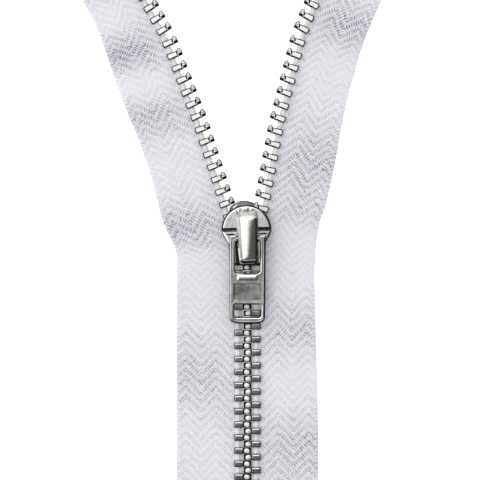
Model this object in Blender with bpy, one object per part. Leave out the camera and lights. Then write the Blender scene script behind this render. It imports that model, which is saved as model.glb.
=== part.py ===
"""A #5 metal zip, 12 cm of chain, closed below its slider and open above it.

Frame: metres, +Y along the chain towards the open end, +Z out of the front face, and the origin at the
middle of the slider's underside. "Closed" places are those a piece has when the zip is shut and its
chain is straight. The open sides are then swung about three upright pivots each.
"""

import math

import bmesh
import bpy
from mathutils import Matrix, Vector

MM = 0.001
CLEARANCE = 0.15 * MM

# chain
PITCH = 2.95 * MM
TOOTH_HEIGHT = 2.5 * MM
TOOTH_WIDTH = 1.3 * MM
TOOTH_OUTER = 2.87 * MM
TOOTH_TIP = 0.5 * MM
CHAIN_Z = 2.25 * MM
NIB_HEIGHT = 0.3 * MM
NIB_HALF = 0.32 * MM
CHAIN_PHASE = {"left": 0.22 * MM, "right": 1.695 * MM}
LOWER_TEETH = 20
OPEN_TEETH = 21
STOP_AFTER = 3.3 * MM
STOP_SIZE = (2.7 * MM, 2.8 * MM, 3.1 * MM)

# beaded tape
BEAD_X = 2.05 * MM
BEAD_RADIUS = 0.65 * MM
JOINED_BEAD_RADIUS = 0.89 * MM
BEAD_INSET = 0.05 * MM
PIVOT_FLAT = 0.4 * MM
TAPE_EDGE = 15.95 * MM
TAPE_THICKNESS = 0.6 * MM
TAPE_TAIL = 16.0 * MM

# pivots of the open sides: distance from the centre line, tooth gap that each one sits in, and bend
PIVOT_X = {"left": (3.2 * MM, 3.2 * MM, 3.2 * MM), "right": (5.2 * MM, 3.0 * MM, 3.0 * MM)}
PIVOT_BENDS = {"left": (18.0, 3.0, 8.4), "right": (10.4, 3.9, 8.0)}
PIVOT_GAPS = (0, 10, 17)
SEGMENTS = ("lower", "middle", "upper")

# slider
FRONT_RADIUS = 5.55 * MM
NOSE_Y = 6.55 * MM
TAIL_Y = -7.9 * MM
TAIL_HALF = 4.1 * MM
TAPER_START_Y = -0.5 * MM
TAPER_END_Y = -3.2 * MM
PLATE = 0.8 * MM
SLIDER_HEIGHT = 4.5 * MM
STEP_HEIGHT = 0.6 * MM
SLOT = 1.16 * MM
NOSE_HALF = 1.5 * MM
NOSE_ARC_END = 48
TAIL_CHAMFER = 0.8 * MM
STEP_START_Y = 0.2 * MM
STEP_INSET = 0.1 * MM
CHANNEL_STRAIGHT_Y = -4.6 * MM
CHANNEL_THROAT = (4.85 * MM, 0.7 * MM)
CHANNEL_MOUTH_Y = 1.5 * MM
BEYOND = 9.0 * MM
WEDGE = ((0.2 * MM, 0.5 * MM), (0.5 * MM, 1.8 * MM), (0.8 * MM, 3.4 * MM), (1.1 * MM, NOSE_Y - 0.4 * MM))
PAWL_HOLE_HALF = 0.75 * MM
PAWL_HOLE_Y = (-6.0 * MM, -4.1 * MM)

# crown, pawl and pull tab
CROWN_TOP_Z = 7.85 * MM
CROWN_WALL = 0.45 * MM
CROWN_BASE_HALF = 2.45 * MM
CROWN_TOP_HALF = 1.9 * MM
CROWN_FRONT_Y = 3.0 * MM
CROWN_REAR_Y = -7.4 * MM
CROWN_REAR_SLOPE = 0.7 * MM
CROWN_FRONT_SLOPE = 0.9 * MM
CROWN_SLOT_RADIUS = 0.95 * MM
PULL_PIVOT_Y = -1.9 * MM
PULL_PIVOT_Z = 5.75 * MM
PULL_TILT = math.radians(4)
PULL_THICKNESS = 1.1 * MM
PULL_LENGTH = 19.9 * MM
PULL_HALF = 4.1 * MM
PULL_BAR_HALF = 0.45 * MM
PULL_FRONT_Y = 0.7 * MM
PULL_CORNER = 0.9 * MM
RIB_HEIGHT = 0.25 * MM
PANEL_DEPTH = 0.2 * MM
PAWL_X = -1.0 * MM
PAWL_PIVOT_Y = 1.3 * MM
PAWL_Z = 6.68 * MM
PAWL_THICKNESS = 0.26 * MM
PAWL_HALF_WIDTH = 0.25 * MM
PAWL_BEND_Y = -4.7 * MM
PAWL_TIP_Y = -5.2 * MM
PAWL_TIP_Z = 3.65 * MM

# openings and reliefs of the pull tab, from its pivot: left, right, rear, front
UPPER_WINDOW = (-2.76 * MM, 2.76 * MM, -7.75 * MM, -PULL_BAR_HALF)
LOWER_WINDOW = (-3.0 * MM, 3.0 * MM, -17.75 * MM, -14.85 * MM)
GRIP_RIB = (-2.45 * MM, 2.45 * MM, -9.6 * MM, -8.1 * MM)
GRIP_PANEL = (-3.1 * MM, 3.1 * MM, -13.9 * MM, -10.1 * MM)
BAR_RELIEF = (-2.76 * MM, 2.76 * MM, PULL_BAR_HALF, MM)

SIDE_SIGN = {"left": -1, "right": 1}


def start():
    for o in list(bpy.data.objects):
        bpy.data.objects.remove(o)
    for name in ("zipper", "zipper_cutters"):
        bpy.context.scene.collection.children.link(bpy.data.collections.new(name))


def link(obj, cutter=False):
    bpy.data.collections["zipper_cutters" if cutter else "zipper"].objects.link(obj)
    if cutter:
        obj.hide_render = True
        obj.display_type = "WIRE"


def material(name, color, roughness, metallic):
    m = bpy.data.materials.new(name)
    m.use_nodes = True
    shader = m.node_tree.nodes["Principled BSDF"]
    shader.inputs["Base Color"].default_value = (*color, 1)
    shader.inputs["Roughness"].default_value = roughness
    shader.inputs["Metallic"].default_value = metallic
    return m


def arc(centre, radius, start_deg, end_deg, steps):
    angles = [math.radians(start_deg + (end_deg - start_deg) * i / steps) for i in range(steps + 1)]
    return [(centre[0] + radius * math.cos(a), centre[1] + radius * math.sin(a)) for a in angles]


def rectangle(x0, x1, y0, y1):
    return [(x0, y0), (x1, y0), (x1, y1), (x0, y1)]


def rounded(x0, x1, y0, y1, r, steps=3):
    corners = ((x1 - r, y1 - r), (x0 + r, y1 - r), (x0 + r, y0 + r), (x1 - r, y0 + r))
    return [p for k, c in enumerate(corners) for p in arc(c, r, 90 * k, 90 * k + 90, steps)]


def outline_mesh(name, outlines, low, high):
    """A flat outline, with holes if it has more than one loop, as a closed mesh between two heights."""
    curve = bpy.data.curves.new(name, "CURVE")
    curve.dimensions = "2D"
    curve.fill_mode = "BOTH"
    curve.extrude = (high - low) / 2
    for outline in outlines:
        spline = curve.splines.new("POLY")
        spline.points.add(len(outline) - 1)
        for point, (x, y) in zip(spline.points, outline):
            point.co = (x, y, 0, 1)
        spline.use_cyclic_u = True
    guide = bpy.data.objects.new(name + "_outline", curve)
    bpy.context.scene.collection.objects.link(guide)
    evaluated = guide.evaluated_get(bpy.context.evaluated_depsgraph_get())
    mesh = bpy.data.meshes.new_from_object(evaluated)
    bpy.data.objects.remove(guide)
    bpy.data.curves.remove(curve)
    mesh.name = name
    bm = bmesh.new()
    bm.from_mesh(mesh)
    bmesh.ops.remove_doubles(bm, verts=bm.verts, dist=1e-7)
    bmesh.ops.translate(bm, verts=bm.verts, vec=(0, 0, (low + high) / 2))
    bmesh.ops.recalc_face_normals(bm, faces=bm.faces)
    bm.to_mesh(mesh)
    bm.free()
    return mesh


def outline_object(name, outlines, low, high, cutter=False):
    obj = bpy.data.objects.new(name, outline_mesh(name, outlines, low, high))
    link(obj, cutter)
    return obj


def standing_mesh(name, outline, low, high):
    """An outline drawn in X and Z, carried along Y between two places."""
    mesh = outline_mesh(name, [outline], -high, -low)
    mesh.transform(Matrix.Rotation(math.pi / 2, 4, "X"))
    return mesh


def sideways_mesh(name, outline, low, high):
    """An outline drawn in Y and Z, carried along X between two places."""
    mesh = outline_mesh(name, [outline], low, high)
    mesh.transform(Matrix.Rotation(math.pi / 2, 4, "Z") @ Matrix.Rotation(math.pi / 2, 4, "X"))
    return mesh


def boolean(obj, other, operation):
    change = obj.modifiers.new(operation.lower(), "BOOLEAN")
    change.operation = operation
    change.object = other
    change.solver = "EXACT"


def finish_mesh(obj):
    """Apply the object's modifiers, so that copies can share its mesh."""
    evaluated = obj.evaluated_get(bpy.context.evaluated_depsgraph_get())
    mesh = bpy.data.meshes.new_from_object(evaluated)
    obj.modifiers.clear()
    obj.data = mesh


def loft(name, lower, upper, low, high):
    """A closed solid between two outlines of equally many points, for sloping walls."""
    bm = bmesh.new()
    rings = [[bm.verts.new((x, y, z)) for x, y in outline] for outline, z in ((lower, low), (upper, high))]
    count = len(lower)
    for i in range(count):
        bm.faces.new((rings[0][i], rings[0][(i + 1) % count], rings[1][(i + 1) % count], rings[1][i]))
    bm.faces.new(rings[0][::-1])
    bm.faces.new(rings[1])
    mesh = bpy.data.meshes.new(name)
    bm.to_mesh(mesh)
    bm.free()
    return mesh


# ---- teeth ---------------------------------------------------------------------------------------


def tooth_profile(sign):
    """The clamp seen along the chain: a block with a round seat for the bead and a slot for the tape."""
    half, seat, slot = TOOTH_HEIGHT / 2, BEAD_RADIUS + CLEARANCE, TAPE_THICKNESS / 2 + CLEARANCE
    opening = math.degrees(math.asin(slot / seat))
    ring = arc((BEAD_X, 0), seat, opening, 360 - opening, 6)
    points = [(TOOTH_OUTER, slot), *ring, (TOOTH_OUTER, -slot)]
    points += [(TOOTH_OUTER, -half), (-TOOTH_TIP, -half), (-TOOTH_TIP, half), (TOOTH_OUTER, half)]
    return [(sign * x, z) for x, z in points]


def tooth_mesh(side):
    """One tooth about its own middle, with a nib towards +Y and a cup for the next nib towards -Y."""
    sign = SIDE_SIGN[side]
    body = bpy.data.objects.new(
        side + "_tooth",
        standing_mesh(side + "_tooth", tooth_profile(sign), -TOOTH_WIDTH / 2, TOOTH_WIDTH / 2),
    )
    link(body)
    nib = nib_object(side + "_nib", NIB_HALF, NIB_HEIGHT, TOOTH_WIDTH / 2)
    cup = nib_object(side + "_cup", NIB_HALF + CLEARANCE, NIB_HEIGHT, -TOOTH_WIDTH / 2)
    boolean(body, cup, "DIFFERENCE")
    boolean(body, nib, "UNION")
    finish_mesh(body)
    mesh = body.data
    for o in (body, nib, cup):
        bpy.data.objects.remove(o)
    mesh.shade_flat()
    return mesh


def nib_object(name, half, height, base_y):
    """A four-sided stud on a tooth's face, centred on the chain."""
    sunk = 0.1 * MM
    wide = rectangle(-half, half, -half, half)
    top = [(0.7 * x, 0.7 * y) for x, y in wide]
    mesh = loft(name, wide, top, -sunk, height)
    mesh.transform(Matrix.Translation((0, base_y, 0)) @ Matrix.Rotation(-math.pi / 2, 4, "X"))
    obj = bpy.data.objects.new(name, mesh)
    link(obj, cutter=True)
    return obj


def bead_outline(sign, radius):
    return [(sign * (BEAD_X + x), CHAIN_Z + z) for x, z in arc((0, 0), radius, 22.5, 337.5, 7)]


def tooth_y(side, n):
    """The closed place of tooth n: 0 and below are in the joined strip, 1 and above swing open."""
    below_pivot = CHAIN_PHASE[side] - (2 if side == "left" else 3) * PITCH
    return below_pivot + n * PITCH


def lower_end():
    """Where both tapes are cut off below the bottom stop."""
    return tooth_y("right", 1 - LOWER_TEETH) - 4 * MM - TAPE_TAIL


def lower_teeth(side, mesh, metal):
    """The teeth below the slider, joined by the bead cord that they are clamped on."""
    outline = bead_outline(SIDE_SIGN[side], JOINED_BEAD_RADIUS)
    top = tooth_y(side, 0) + TOOTH_WIDTH / 2 + CLEARANCE
    cord = standing_mesh(side + "_lower_teeth", outline, lower_end(), top)
    strip = bpy.data.objects.new(side + "_lower_teeth", cord)
    link(strip)
    row = bmesh.new()
    for n in range(LOWER_TEETH):
        first = len(row.verts)
        row.from_mesh(mesh)
        row.verts.ensure_lookup_table()
        bmesh.ops.translate(row, verts=row.verts[first:], vec=(0, tooth_y(side, -n), CHAIN_Z))
    teeth = bpy.data.meshes.new(side + "_row")
    row.to_mesh(teeth)
    row.free()
    cutter = bpy.data.objects.new(side + "_row", teeth)
    link(cutter, cutter=True)
    boolean(strip, cutter, "UNION")
    finish_mesh(strip)
    bpy.data.objects.remove(cutter)
    strip.data.materials.append(metal)


def open_teeth(side, mesh, metal, pivots):
    mesh.materials.append(metal)
    for n in range(1, OPEN_TEETH + 1):
        tooth = bpy.data.objects.new(f"{side}_tooth_{n:02d}", mesh)
        link(tooth)
        segment = segment_of(n)
        tooth.parent = pivots[segment]
        tooth.location = Vector((0, tooth_y(side, n), CHAIN_Z)) - closed_pivot(side, segment)


def top_stop(side, metal, pivots):
    """The crimped stop after the last tooth."""
    sign = SIDE_SIGN[side]
    long, wide, high = STOP_SIZE
    y = tooth_y(side, OPEN_TEETH) + STOP_AFTER
    seat, slot = BEAD_RADIUS + CLEARANCE, TAPE_THICKNESS / 2 + CLEARANCE
    opening = math.degrees(math.asin(slot / seat))
    outer, inner = TOOTH_OUTER + CLEARANCE, TOOTH_OUTER + CLEARANCE - wide
    profile = [(outer, slot), *arc((BEAD_X, 0), seat, opening, 360 - opening, 6), (outer, -slot)]
    profile += [(outer, -high / 2), (inner, -high / 2), (inner, high / 2), (outer, high / 2)]
    profile = [(sign * x, z) for x, z in profile]
    mesh = standing_mesh(side + "_top_stop", profile, -long / 2, long / 2)
    stop = bpy.data.objects.new(side + "_top_stop", mesh)
    link(stop)
    stop.data.materials.append(metal)
    stop.parent = pivots["upper"]
    stop.location = Vector((0, y, CHAIN_Z)) - closed_pivot(side, "upper")


def bottom_stop(metal):
    """One crimp across both beads, just below the last teeth."""
    top = tooth_y("right", 1 - LOWER_TEETH) - TOOTH_WIDTH / 2 - 2 * CLEARANCE
    long, half, high = 3.2 * MM, TOOTH_OUTER + CLEARANCE, 3.1 * MM
    slot, seat = TAPE_THICKNESS / 2 + CLEARANCE, JOINED_BEAD_RADIUS + CLEARANCE
    opening = math.degrees(math.asin(slot / seat))
    right = [(half, slot), *arc((BEAD_X, 0), seat, opening, 360 - opening, 6), (half, -slot)]
    left = [(-x, -z) for x, z in right]
    profile = [*right, (half, -high / 2), (-half, -high / 2), *left, (-half, high / 2), (half, high / 2)]
    stop = bpy.data.objects.new("bottom_stop", standing_mesh("bottom_stop", profile, top - long, top))
    link(stop)
    stop.location.z = CHAIN_Z
    stop.data.materials.append(metal)


# ---- pivots and tapes ----------------------------------------------------------------------------


def segment_of(n):
    return SEGMENTS[sum(n > gap for gap in PIVOT_GAPS) - 1]


def closed_pivot(side, segment):
    i = SEGMENTS.index(segment)
    return Vector((SIDE_SIGN[side] * PIVOT_X[side][i], tooth_y(side, PIVOT_GAPS[i] + 0.5), 0))


def make_pivots(side):
    """Three empties, one inside the other, that swing the open side out from the closed chain."""
    pivots, parent, last = {}, None, Vector((0, 0, 0))
    for segment, bend in zip(SEGMENTS, PIVOT_BENDS[side]):
        empty = bpy.data.objects.new(f"{side}_{segment}_pivot", None)
        link(empty)
        here = closed_pivot(side, segment)
        empty.parent = parent
        empty.location = here - last
        empty.rotation_euler.z = -SIDE_SIGN[side] * math.radians(bend)
        pivots[segment] = parent = empty
        last = here
    return pivots


def end_line(sign, end, gap, inner):
    """The points of a tape's end from its inner edge outwards: square, or mitred outside its pivot."""
    place, slope = end
    if slope is None:
        return [(sign * inner, place), (sign * TAPE_EDGE, place)]
    start = max(sign * place.x - PIVOT_FLAT, inner)
    y = place.y + gap - slope * PIVOT_FLAT
    outer = (sign * TAPE_EDGE, place.y + gap + slope * (TAPE_EDGE - sign * place.x))
    return [(sign * inner, y), *([(sign * start, y)] if start > inner else []), outer]


def tape_outline(side, low, high, inner):
    """A tape between two ends. An end is (y, None) if square, or (pivot, half slope) if mitred."""
    sign = SIDE_SIGN[side]
    below = end_line(sign, low, CLEARANCE / 2, inner)
    above = end_line(sign, high, -CLEARANCE / 2, inner)
    return [*below, *reversed(above)]


def tape(name, side, low, high, cloth, with_bead):
    """A flat tape, with the round bead along its inner edge where it is wanted."""
    inner = BEAD_X if with_bead else BEAD_X + JOINED_BEAD_RADIUS + CLEARANCE
    outline = tape_outline(side, low, high, inner)
    half = TAPE_THICKNESS / 2
    obj = outline_object(name, [outline], CHAIN_Z - half, CHAIN_Z + half)
    if with_bead:
        y0, y1 = outline[0][1] + BEAD_INSET, outline[-1][1] - BEAD_INSET
        bead = standing_mesh(name + "_bead", bead_outline(SIDE_SIGN[side], BEAD_RADIUS), y0, y1)
        cutter = bpy.data.objects.new(name + "_bead", bead)
        link(cutter, cutter=True)
        boolean(obj, cutter, "UNION")
        finish_mesh(obj)
        bpy.data.objects.remove(cutter)
    obj.data.materials.append(cloth)
    return obj


def tapes(side, cloth, pivots):
    """One tape below the first pivot and three above it, mitred so that they meet when the zip is open."""
    bends = dict(zip(SEGMENTS, PIVOT_BENDS[side]))
    slope = {s: math.tan(math.radians(bends[s]) / 2) for s in SEGMENTS}
    at = {s: closed_pivot(side, s) for s in SEGMENTS}
    top = tooth_y("left", OPEN_TEETH) + STOP_AFTER + TAPE_TAIL
    tape(side + "_lower_tape", side, (lower_end(), None), (at["lower"], -slope["lower"]), cloth, False)
    ends = [(at["middle"], -slope["middle"]), (at["upper"], -slope["upper"]), (top, None)]
    for segment, end in zip(SEGMENTS, ends):
        obj = tape(f"{side}_{segment}_open_tape", side, (at[segment], slope[segment]), end, cloth, True)
        obj.data.transform(Matrix.Translation(-at[segment]))
        obj.parent = pivots[segment]


# ---- slider --------------------------------------------------------------------------------------


def slider_outline(front):
    """A half disc in front, then a short taper to the parallel tail."""
    disc = arc((0, 0), FRONT_RADIUS, 0, 180, 20)
    if front == "nose":
        side = arc((0, 0), FRONT_RADIUS, 0, NOSE_ARC_END, 6)
        disc = [*side, (NOSE_HALF, NOSE_Y), (-NOSE_HALF, NOSE_Y), *[(-x, y) for x, y in reversed(side)]]
    left = [(-FRONT_RADIUS, TAPER_START_Y), (-TAIL_HALF, TAPER_END_Y), (-TAIL_HALF, TAIL_Y + TAIL_CHAMFER)]
    left.append((-TAIL_HALF + TAIL_CHAMFER, TAIL_Y))
    return [*disc, *left, *[(-x, y) for x, y in reversed(left)]]


def channel_outline():
    """The Y-shaped way of the two tooth rows: parallel at the tail, open at both mouths in front."""
    tail = TOOTH_OUTER + 2 * CLEARANCE
    right = [(tail, -BEYOND), (tail, CHANNEL_STRAIGHT_Y), CHANNEL_THROAT]
    right += [(BEYOND, CHANNEL_MOUTH_Y), (BEYOND, BEYOND)]
    return [*right, *[(-x, y) for x, y in reversed(right)]]


def diamond_outline():
    """The wedge that joins the plates and parts the rows."""
    return [*WEDGE, *[(-x, y) for x, y in reversed(WEDGE)]]


def slider_body(metal):
    top, mid, inside = SLIDER_HEIGHT, SLIDER_HEIGHT / 2, SLOT / 2
    body = outline_object("slider_body", [slider_outline("nose")], 0, mid - inside)
    upper = outline_object("slider_front", [slider_outline("disc")], mid + inside, top, cutter=True)
    channel = outline_object("slider_channel", [channel_outline()], PLATE, top - PLATE, cutter=True)
    diamond = outline_object("slider_diamond", [diamond_outline()], PLATE / 2, top - PLATE / 2, cutter=True)
    step = outline_object("slider_step", [step_outline()], top - PLATE / 2, top + STEP_HEIGHT, cutter=True)
    hole_outline = rectangle(PAWL_X - PAWL_HOLE_HALF, PAWL_X + PAWL_HOLE_HALF, *PAWL_HOLE_Y)
    hole = outline_object("pawl_hole", [hole_outline], mid + inside, top + STEP_HEIGHT, cutter=True)
    boolean(body, upper, "UNION")
    boolean(body, channel, "DIFFERENCE")
    boolean(body, diamond, "UNION")
    boolean(body, step, "UNION")
    boolean(body, hole, "DIFFERENCE")
    body.data.materials.append(metal)


def step_outline():
    """The raised front of the upper plate, inside its rim."""
    radius = FRONT_RADIUS - STEP_INSET
    return [(radius, STEP_START_Y), *arc((0, 0), radius, 4, 176, 18), (-radius, STEP_START_Y)]


def slider_crown(metal):
    """The bridge over the pull tab's bar: a sloping box, hollow below and open at both sides."""
    foot, top = SLIDER_HEIGHT + CLEARANCE, CROWN_TOP_Z
    lower = rectangle(-CROWN_BASE_HALF, CROWN_BASE_HALF, CROWN_REAR_Y, CROWN_FRONT_Y)
    rear, front = CROWN_REAR_Y + CROWN_REAR_SLOPE, CROWN_FRONT_Y - CROWN_FRONT_SLOPE
    upper = rectangle(-CROWN_TOP_HALF, CROWN_TOP_HALF, rear, front)
    crown = bpy.data.objects.new("slider_crown", loft("slider_crown", lower, upper, foot, top))
    link(crown)
    half = CROWN_TOP_HALF - CROWN_WALL
    inner = rectangle(-half, half, rear + CROWN_WALL, front - CROWN_WALL)
    hollow = outline_object("crown_hollow", [inner], foot - MM, top - CROWN_WALL, cutter=True)
    notch = rectangle(-BEYOND, BEYOND, STEP_START_Y - CLEARANCE, BEYOND)
    over_step = outline_object("crown_front_notch", [notch], foot - MM, foot + STEP_HEIGHT, cutter=True)
    slot_outline = [
        (PULL_PIVOT_Y + CROWN_SLOT_RADIUS, foot - MM),
        *arc((PULL_PIVOT_Y, PULL_PIVOT_Z), CROWN_SLOT_RADIUS, 0, 180, 6),
        (PULL_PIVOT_Y - CROWN_SLOT_RADIUS, foot - MM),
    ]
    slot = bpy.data.objects.new("crown_slot", sideways_mesh("crown_slot", slot_outline, -BEYOND, BEYOND))
    link(slot, cutter=True)
    boolean(crown, hollow, "DIFFERENCE")
    boolean(crown, over_step, "DIFFERENCE")
    boolean(crown, slot, "DIFFERENCE")
    crown.data.materials.append(metal)


def lock_pawl(metal):
    """A bent spring leaf under the crown whose rear end reaches down through the upper plate."""
    half = PAWL_THICKNESS / 2
    outline = [
        (PAWL_PIVOT_Y, PAWL_Z - half), (PAWL_PIVOT_Y, PAWL_Z + half), (PAWL_TIP_Y - half, PAWL_Z + half),
        (PAWL_TIP_Y - half, PAWL_TIP_Z), (PAWL_BEND_Y, PAWL_TIP_Z), (PAWL_BEND_Y, PAWL_Z - half),
    ]
    outline = [(y - PAWL_PIVOT_Y, z - PAWL_Z) for y, z in outline]
    mesh = sideways_mesh("lock_pawl", outline, -PAWL_HALF_WIDTH, PAWL_HALF_WIDTH)
    pawl = bpy.data.objects.new("lock_pawl", mesh)
    link(pawl)
    pawl.location = (PAWL_X, PAWL_PIVOT_Y, PAWL_Z)
    pawl.data.materials.append(metal)


def pull_tab(metal):
    """A flat tab with a long window round the crown, a grip panel and a short window near its end."""
    outer = rounded(-PULL_HALF, PULL_HALF, PULL_FRONT_Y - PULL_LENGTH, PULL_FRONT_Y, PULL_CORNER)
    windows = [rounded(*UPPER_WINDOW, 0.6 * MM, 2), rounded(*LOWER_WINDOW, 0.4 * MM, 2)]
    half = PULL_THICKNESS / 2
    tab = outline_object("pull_tab", [outer, *windows], -half, half)
    relief = outline_object("bar_relief", [rectangle(*BAR_RELIEF)], -MM, MM, cutter=True)
    rib = outline_object("grip_rib", [rounded(*GRIP_RIB, 0.5 * MM, 2)], 0, half + RIB_HEIGHT, cutter=True)
    panel = outline_object("grip_panel", [rectangle(*GRIP_PANEL)], half - PANEL_DEPTH, MM, cutter=True)
    boolean(tab, relief, "DIFFERENCE")
    boolean(tab, rib, "UNION")
    boolean(tab, panel, "DIFFERENCE")
    for cutter in (relief, rib, panel):
        cutter.parent = tab
    tab.location = (0, PULL_PIVOT_Y, PULL_PIVOT_Z)
    tab.rotation_euler.x = PULL_TILT
    tab.data.materials.append(metal)


def main():
    start()
    tooth_metal = material("tooth_nickel", (0.66, 0.66, 0.65), 0.28, 1.0)
    slider_metal = material("slider_nickel", (0.60, 0.60, 0.59), 0.22, 1.0)
    spring_steel = material("spring_steel", (0.45, 0.45, 0.46), 0.35, 1.0)
    cloth = material("white_tape", (0.86, 0.85, 0.89), 0.85, 0.0)
    for side in SIDE_SIGN:
        mesh = tooth_mesh(side)
        pivots = make_pivots(side)
        lower_teeth(side, mesh, tooth_metal)
        open_teeth(side, mesh, tooth_metal, pivots)
        top_stop(side, tooth_metal, pivots)
        tapes(side, cloth, pivots)
    bottom_stop(tooth_metal)
    slider_body(slider_metal)
    slider_crown(slider_metal)
    lock_pawl(spring_steel)
    pull_tab(slider_metal)


main()
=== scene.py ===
"""Looks of the metal zip: woven tapes, nickel teeth, the slider, its crown and its pull tab.

Lengths in this file are millimetres until a mesh is finished, and metres in Blender.
"""

import math
import bmesh
import bpy
import numpy as np
from mathutils import Matrix, Vector


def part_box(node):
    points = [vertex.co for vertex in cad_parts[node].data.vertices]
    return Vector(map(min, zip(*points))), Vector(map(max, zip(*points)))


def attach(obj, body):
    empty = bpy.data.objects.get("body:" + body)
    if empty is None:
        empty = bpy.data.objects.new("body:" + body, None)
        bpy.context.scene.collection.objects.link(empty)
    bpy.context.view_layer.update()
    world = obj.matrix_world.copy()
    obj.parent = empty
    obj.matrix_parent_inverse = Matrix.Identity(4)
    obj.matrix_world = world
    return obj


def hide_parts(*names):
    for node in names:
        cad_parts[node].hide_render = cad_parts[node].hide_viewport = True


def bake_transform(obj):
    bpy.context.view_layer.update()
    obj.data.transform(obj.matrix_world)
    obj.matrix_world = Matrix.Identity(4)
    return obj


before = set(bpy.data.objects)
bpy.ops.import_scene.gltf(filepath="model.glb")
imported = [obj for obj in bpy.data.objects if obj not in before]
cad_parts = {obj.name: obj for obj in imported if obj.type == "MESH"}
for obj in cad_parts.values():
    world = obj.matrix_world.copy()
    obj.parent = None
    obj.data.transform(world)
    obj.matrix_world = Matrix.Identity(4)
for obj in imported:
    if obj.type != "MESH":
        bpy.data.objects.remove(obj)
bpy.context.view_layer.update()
MM = 0.001
TAU = 2 * math.pi

SIGN = {"left": -1, "right": 1}
SEGMENTS = ("lower", "middle", "upper")
PITCH = 2.95
FIRST_TOOTH = {"left": -5.68, "right": -7.155}
PIVOTS = {
    "left": ((3.2, -4.205, 18.0), (3.2, 25.295, 3.0), (3.2, 45.945, 8.4)),
    "right": ((5.2, -5.68, 10.4), (3.0, 23.82, 3.9), (3.0, 44.47, 8.0)),
}
OPEN_TEETH = 21
CLOSED_TEETH = 20
STOP_AFTER = 3.3

TAPE_Z = 2.25
TAPE_EDGE = 15.95
TAPE_INNER = 1.75  # where the cloth comes out of its bead
SELVAGE = 0.95  # from one loop of the outer edge to the next
BEAD_X = 2.05
BEAD_RADIUS = 0.60
LOW_END, HIGH_END = -83.2, 75.57
STRAIGHT_FROM = 50  # above this the tapes' outer edges are straight

PLATE_TOP = 4.5  # the slider's front plate
STEP_TOP = 5.1  # the raised half of that plate
PULL_PIVOT = (0.08, -1.9, 5.75)
PULL_TILT = 4


# ---------------------------------------------------------------- meshes


def circle_arc(cx, cy, r, a0, a1, steps):
    """Points of an arc, angles in degrees."""
    out = []
    for i in range(steps + 1):
        a = math.radians(a0 + (a1 - a0) * i / steps)
        out.append((cx + r * math.cos(a), cy + r * math.sin(a)))
    return out


def rounded(points, radii, steps=5):
    """The anticlockwise polygon with its corners rounded. radii is one number, or one for each corner."""
    n = len(points)
    radii = [radii] * n if isinstance(radii, (int, float)) else radii
    out = []
    for i in range(n):
        p, a, b = (Vector(q) for q in (points[i], points[i - 1], points[(i + 1) % n]))
        u, w = (a - p), (b - p)
        r = min(radii[i], 0.49 * u.length, 0.49 * w.length)
        if r < 1e-4:
            out.append(tuple(p))
            continue
        start, end = p + u.normalized() * r, p + w.normalized() * r
        for k in range(steps + 1):
            t = k / steps
            q = start * (1 - t) ** 2 + p * 2 * t * (1 - t) + end * t * t
            out.append((q.x, q.y))
    return out


def box_loop(x0, x1, y0, y1, r, steps=5):
    return rounded([(x0, y0), (x1, y0), (x1, y1), (x0, y1)], r, steps)


def inset(loop, distance):
    """The closed outline moved to its left by distance: inwards where it runs anticlockwise."""
    p = np.array(loop, float)
    e0, e1 = p - np.roll(p, 1, 0), np.roll(p, -1, 0) - p
    e0 /= np.maximum(np.linalg.norm(e0, axis=1), 1e-9)[:, None]
    e1 /= np.maximum(np.linalg.norm(e1, axis=1), 1e-9)[:, None]
    n0, n1 = np.stack([-e0[:, 1], e0[:, 0]], 1), np.stack([-e1[:, 1], e1[:, 0]], 1)
    b = n0 + n1
    b /= np.maximum(np.linalg.norm(b, axis=1), 1e-9)[:, None]
    cos = np.maximum((b * n1).sum(1), 0.6)
    return p + b * (distance / cos)[:, None]


def ring_faces(bm, low, high, slot):
    n = len(low)
    for i in range(n):
        j = (i + 1) % n
        quad = [low[i], low[j], high[j], high[i]]
        unique = list(dict.fromkeys(quad))
        if len(unique) > 2:
            bm.faces.new(unique).material_index = slot


def fill(bm, loops, slot):
    """A flat cap between the loops of vertices, the later ones being holes in the first."""
    edges = []
    for loop in loops:
        for i, v in enumerate(loop):
            w = loop[(i + 1) % len(loop)]
            edges.append(bm.edges.get((v, w)) or bm.edges.new((v, w)))
    made = bmesh.ops.triangle_fill(bm, use_beauty=True, use_dissolve=False, edges=edges)
    for f in made["geom"]:
        if isinstance(f, bmesh.types.BMFace):
            f.material_index = slot


def plate(bm, outer, rings, holes=(), bosses=(), shape=None):
    """A flat part with shaped edges. rings are (inset, height, slot) from lowest to highest.

    holes go right through. bosses are (outline, rings) raised from or sunk in the top face.
    shape(points, height, k) may move the points of ring k, and gives x, y, z for each.
    """
    shape = shape or (lambda pts, z, k: [(x, y, z) for x, y in pts])
    loops = [outer] + [list(reversed(h)) for h in holes]
    levels = []
    for k, (d, z, _) in enumerate(rings):
        levels.append([[bm.verts.new(c) for c in shape(inset(loop, d), z, k)] for loop in loops])
    for low, high, ring in zip(levels, levels[1:], rings[1:]):
        for a, b in zip(low, high):
            ring_faces(bm, a, b, ring[2])
    fill(bm, levels[0], rings[0][2])
    top = list(levels[-1])
    for loop, steps in bosses:
        made = [[bm.verts.new((x, y, z)) for x, y in inset(loop, d)] for d, z, slot in steps]
        for a, b, step in zip(made, made[1:], steps[1:]):
            ring_faces(bm, a, b, step[2])
        fill(bm, [made[-1]], steps[-1][2])
        top.append(made[0])
    fill(bm, top, rings[-1][2])


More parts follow.
